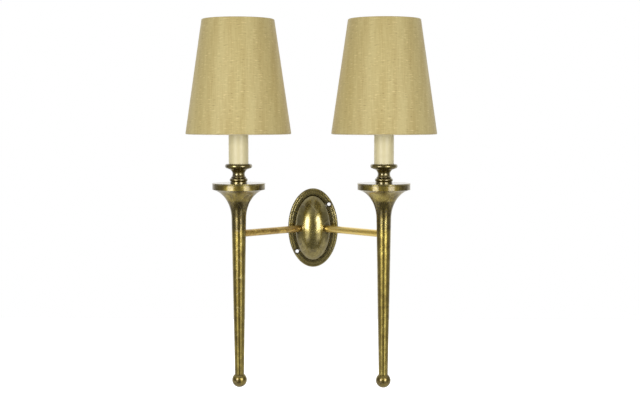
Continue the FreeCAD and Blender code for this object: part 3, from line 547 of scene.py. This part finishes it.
def addLap(cover, axis):
    # glued lap of the cloth down the back: the strip of the cone there, doubled and lifted
    s = silkCover
    bpy.ops.object.mode_set(mode="OBJECT")
    for element in (*cover.data.vertices, *cover.data.edges):
        element.select = False
    for polygon in cover.data.polygons:
        turn = math.degrees(math.atan2(polygon.center.x - axis.x, polygon.center.y - axis.y))
        tall = polygon.area > 0.1 * (s["top"] - s["bottom"]) * mm * mm     # not the hem's small faces
        polygon.select = abs(turn) < s["lapTurn"] and tall
    bpy.ops.object.mode_set(mode="EDIT")
    bpy.ops.mesh.select_mode(type="FACE")
    bpy.ops.mesh.duplicate()
    bpy.ops.transform.shrink_fatten(value=s["lapLift"] * mm)


def makeCover(side):
    s = silkCover
    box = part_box(side + "_shade_cover")
    axis = Vector(((box[0][0] + box[1][0]) / 2, (box[0][1] + box[1][1]) / 2, 0))
    low, high = s["bottom"] + s["ringLift"], s["top"] - s["ringLift"]
    bpy.ops.object.select_all(action="DESELECT")
    bpy.ops.mesh.primitive_cone_add(vertices=s["columns"], radius1=coverRadius(low) * mm,
                                    radius2=coverRadius(high) * mm, depth=(high - low) * mm,
                                    end_fill_type="NOTHING",
                                    location=(axis.x, axis.y, (low + high) / 2 * mm))
    cover = bpy.context.active_object
    cover.name = side + "_silk_cover"
    bpy.ops.object.transform_apply(location=True, rotation=True, scale=True)
    bpy.ops.object.mode_set(mode="EDIT")
    for atTop, edge in ((False, low), (True, high)):
        selectRim(cover, edge)
        radius, height = coverRadius(edge), edge
        for nextRadius, nextHeight in hemSteps(atTop):
            bpy.ops.mesh.extrude_edges_move(
                TRANSFORM_OT_translate={"value": (0, 0, (nextHeight - height) * mm)})
            scale = nextRadius / radius
            bpy.ops.transform.resize(value=(scale, scale, 1), center_override=(axis.x, axis.y, 0))
            radius, height = nextRadius, nextHeight
    bpy.ops.mesh.select_mode(type="VERT")
    bpy.ops.mesh.select_all(action="SELECT")
    bpy.ops.mesh.remove_doubles(threshold=0.000001)
    bpy.ops.mesh.normals_make_consistent(inside=False)
    addLap(cover, axis)
    bpy.ops.object.mode_set(mode="OBJECT")
    layFlat(cover, axis)
    solid = cover.modifiers.new("cloth", "SOLIDIFY")
    solid.thickness = s["thickness"] * mm
    solid.offset = 0.0
    bpy.ops.object.modifier_apply(modifier=solid.name)
    bpy.ops.object.shade_smooth_by_angle(angle=math.radians(40))
    return cover


silkTones = {
    "cloth": "#C1B178",
    "shadow": "#B29E63",
    "slub": "#DECD93",
    "thin": "#86713C",         # dark dashes where the weft runs thin
    # tone of the painted shade along the turned edges
    "fold": "#A28E57",
    "slubMm": 1.3,             # thick weft threads, drawn coarser than the real 0.6 mm to show
    "slubLength": 6.0,         # times as long as thick
    "warpMm": 1.6,
    "threadMm": 4.4,           # spacing of soft thread ridges; the real 0.25 mm is far too fine to show
    "bandMm": 15.0,            # soft bands down the cloth, where the warp was dyed unevenly
    "bandLength": 10.0,
    "warpLength": 18.0,
    "foldShadeMm": (0.4, 1.6),       # painted shade of the turned edge, a darker line that fades between these
    "bump": 0.35,
    "bumpMm": 0.12,
}


def makeSilk():
    # silk dupion, woven: slubbed weft threads of uneven thickness, a soft lustre and faint bands
    # down the warp
    s = silkTones
    material, tree, shader = startMaterial("silk dupion, woven", {
        "Roughness": 0.62, "Sheen Weight": 0.25, "Sheen Roughness": 0.4, "IOR": 1.5})
    cut = addNode(tree, "ShaderNodeUVMap", {"uv_map": "cut"})
    weft, warp, down = (addNode(tree, "ShaderNodeMapping", {"vector_type": "TEXTURE"},
                                {"Vector": cut, "Scale": drawn})
                        for drawn in ((s["slubLength"], 1.0, 1.0), (1.0, s["warpLength"], 1.0),
                                      (1.0, s["bandLength"], 1.0)))
    slub = addNode(tree, "ShaderNodeTexNoise", None,
                   {"Vector": weft, "Scale": perMetre(s["slubMm"]), "Detail": 3.0, "Roughness": 0.6})
    thick = addNode(tree, "ShaderNodeMapRange", None, {"Value": slub, 1: 0.58, 2: 0.70, 3: 0.0, 4: 0.8})
    thin = addNode(tree, "ShaderNodeMapRange", None, {"Value": slub, 1: 0.28, 2: 0.40, 3: 0.75, 4: 0.0})
    ends = addNode(tree, "ShaderNodeTexNoise", None,
                   {"Vector": warp, "Scale": perMetre(s["warpMm"]), "Detail": 2.0, "Roughness": 0.5})
    band = addNode(tree, "ShaderNodeTexNoise", None,
                   {"Vector": down, "Scale": perMetre(s["bandMm"]), "Detail": 2.0, "Roughness": 0.5})
    tone = addNode(tree, "ShaderNodeMath", {"operation": "MULTIPLY_ADD"}, {0: ends, 1: 0.4, 2: 0.0})
    tone = addNode(tree, "ShaderNodeMath", {"operation": "MULTIPLY_ADD"}, {0: band, 1: 0.6, 2: tone})
    base = addNode(tree, "ShaderNodeValToRGB", {"stops": [(0.36, s["shadow"]), (0.60, s["cloth"])]},
                   {"Fac": tone})
    colour = addNode(tree, "ShaderNodeMix", {"data_type": "RGBA"}, {0: thick, 6: base, 7: s["slub"]})
    colour = addNode(tree, "ShaderNodeMix", {"data_type": "RGBA"}, {0: thin, 6: colour, 7: s["thin"]})
    # painted shade: the turned edge is drawn as a thin darker line along the rims
    distance = addNode(tree, "ShaderNodeVectorMath", {"operation": "LENGTH"}, {0: cut})
    nearest = addNode(tree, "ShaderNodeMath", {"operation": "PINGPONG"},
                      {0: addNode(tree, "ShaderNodeMath", {"operation": "SUBTRACT"},
                                  {0: distance.outputs["Value"], 1: apexToBottom * mm}), 1: slant * mm})
    edge = addNode(tree, "ShaderNodeMapRange", None,
                   {"Value": nearest, 1: s["foldShadeMm"][0] * mm, 2: s["foldShadeMm"][1] * mm, 3: 0.8, 4: 0.0})
    colour = addNode(tree, "ShaderNodeMix", {"data_type": "RGBA"}, {0: edge, 6: colour, 7: s["fold"]})
    # a wave texture turns through this many radians in each unit of its scale
    waveTurn = 20
    threads = addNode(tree, "ShaderNodeTexWave", {"bands_direction": "Y", "wave_profile": "SIN"},
                      {"Vector": cut, "Scale": perMetre(s["threadMm"]) * 2 * math.pi / waveTurn,
                       "Distortion": 0.6, "Detail": 1.0})
    height = addNode(tree, "ShaderNodeMath", {"operation": "MULTIPLY_ADD"}, {0: slub, 1: 1.6, 2: threads})
    finishShader(tree, shader, colour, None, height, s["bump"], s["bumpMm"])
    return material


silk = makeSilk()
for side in sides:
    cover = makeCover(side)
    cover.data.materials.append(silk)
    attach(cover, side + "_shade")
    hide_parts(side + "_shade_cover")
print("shade covers done")


# ---- studio

studio = {
    "floorDrop": 0.34,
    "floorBack": 1.25,
    "floorFront": -0.27,
    "floorHalf": 0.9,
    "floorGlow": 0.9,
    "floorLit": 0.2,
    "boxWidth": 0.54,
    "boxHeight": 0.54,
    "boxPower": (7.3, 6.3),    # left, right
    "boxTurn": 34.0,           # degrees either side of the camera
    "boxLift": 6.0,
    "boxDistance": 1.25,
    "boxAim": (0.0, -0.05, 0.03),
    "skirtPower": 0.9,         # dimmer cloth under each softbox
    "skirtLift": -17.0,
    "skirtHeight": 0.52,
    "roomFront": 0.18,
    "roomSides": 0.28,
    "roomBack": 1.0,
    "ceiling": 0.6,
    "sideBlend": (0.35, 0.85),
    "ceilingBlend": (0.2, 0.6),
    "backBlend": (0.3, 0.7),
}


def makeFloor():
    # matt white card that the camera sees as white as the paper behind, and the metal as lit
    s = studio
    bpy.ops.object.select_all(action="DESELECT")
    bpy.ops.mesh.primitive_plane_add(
        size=1, location=(0, (s["floorFront"] + s["floorBack"]) / 2, -s["floorDrop"]))
    floor = bpy.context.active_object
    floor.name = "studio_floor"
    floor.scale = (2 * s["floorHalf"], s["floorBack"] - s["floorFront"], 1)
    bpy.ops.object.transform_apply(location=True, rotation=True, scale=True)
    material, tree, shader = startMaterial("white card, matt", {
        "Base Color": "#CFCECB", "Roughness": 0.9, "Emission Color": "#FFFFFF"})
    seen = addNode(tree, "ShaderNodeLightPath")
    glow = addNode(tree, "ShaderNodeMath", {"operation": "MULTIPLY_ADD"},
                   {0: seen.outputs["Is Camera Ray"], 1: s["floorGlow"], 2: s["floorLit"]})
    tree.links.new(glow.outputs[0], shader.inputs["Emission Strength"])
    floor.data.materials.append(material)


def addSoftbox(name, turn, lift, distance, width, height, power):
    # soft light at an angle round the object, 0 towards the camera
    data = bpy.data.lights.new(name, "AREA")
    data.shape = "RECTANGLE"
    data.size = width
    data.size_y = height
    data.energy = power
    light = bpy.data.objects.new(name, data)
    bpy.context.scene.collection.objects.link(light)
    a, e = math.radians(turn), math.radians(lift)
    away = Vector((math.sin(a) * math.cos(e), -math.cos(a) * math.cos(e), math.sin(e)))
    light.location = Vector(studio["boxAim"]) + away * distance
    light.rotation_mode = "QUATERNION"
    light.rotation_quaternion = away.to_track_quat("Z", "Y")


def makeWorld():
    # white paper behind, a dim room in front with a pale ceiling
    s = studio
    world = bpy.data.worlds.new("studio")
    bpy.context.scene.world = world
    world.use_nodes = True
    tree = world.node_tree
    tree.nodes.clear()
    parts = addNode(tree, "ShaderNodeSeparateXYZ", None,
                    {0: addNode(tree, "ShaderNodeTexCoord").outputs["Generated"]})
    side = addNode(tree, "ShaderNodeMath", {"operation": "ABSOLUTE"}, {0: parts.outputs["X"]})
    room = 0.0
    for along, blend, low, high in ((side, s["sideBlend"], s["roomFront"], s["roomSides"]),
                                    (parts.outputs["Z"], s["ceilingBlend"], 0.0, s["ceiling"]),
                                    (parts.outputs["Y"], s["backBlend"], 0.0, s["roomBack"])):
        part = addNode(tree, "ShaderNodeMapRange", {"interpolation_type": "SMOOTHSTEP"},
                       {"Value": along, 1: blend[0], 2: blend[1], 3: low, 4: high})
        room = addNode(tree, "ShaderNodeMath", {"operation": "MAXIMUM"}, {0: room, 1: part})
    seen = addNode(tree, "ShaderNodeLightPath")
    level = addNode(tree, "ShaderNodeMath", {"operation": "MAXIMUM"},
                    {0: room, 1: seen.outputs["Is Camera Ray"]})
    background = addNode(tree, "ShaderNodeBackground", None, {"Color": "#FFFFFF", "Strength": level})
    addNode(tree, "ShaderNodeOutputWorld", None, {"Surface": background})


makeFloor()
makeWorld()
for sign, power in zip((-1, 1), studio["boxPower"]):
    addSoftbox("softbox", sign * studio["boxTurn"], studio["boxLift"], studio["boxDistance"],
               studio["boxWidth"], studio["boxHeight"], power)
    addSoftbox("softbox_skirt", sign * studio["boxTurn"], studio["skirtLift"], studio["boxDistance"],
               studio["boxWidth"], studio["skirtHeight"], studio["skirtPower"])
print("studio done")


# ---- camera

cameraView = {
    "place": (0.045, -1.735, 0.157),
    "pitch": 86.108,
    "yaw": 1.162,
    "lens": 69.19,
    "sensor": 36.0,
}
cameraData = bpy.data.cameras.new("camera")
cameraData.lens = cameraView["lens"]
cameraData.sensor_width = cameraView["sensor"]
camera = bpy.data.objects.new("camera", cameraData)
camera.location = cameraView["place"]
camera.rotation_euler = (math.radians(cameraView["pitch"]), 0.0, math.radians(cameraView["yaw"]))
bpy.context.scene.collection.objects.link(camera)
bpy.context.scene.camera = camera
bpy.context.scene.view_settings.view_transform = "Standard"
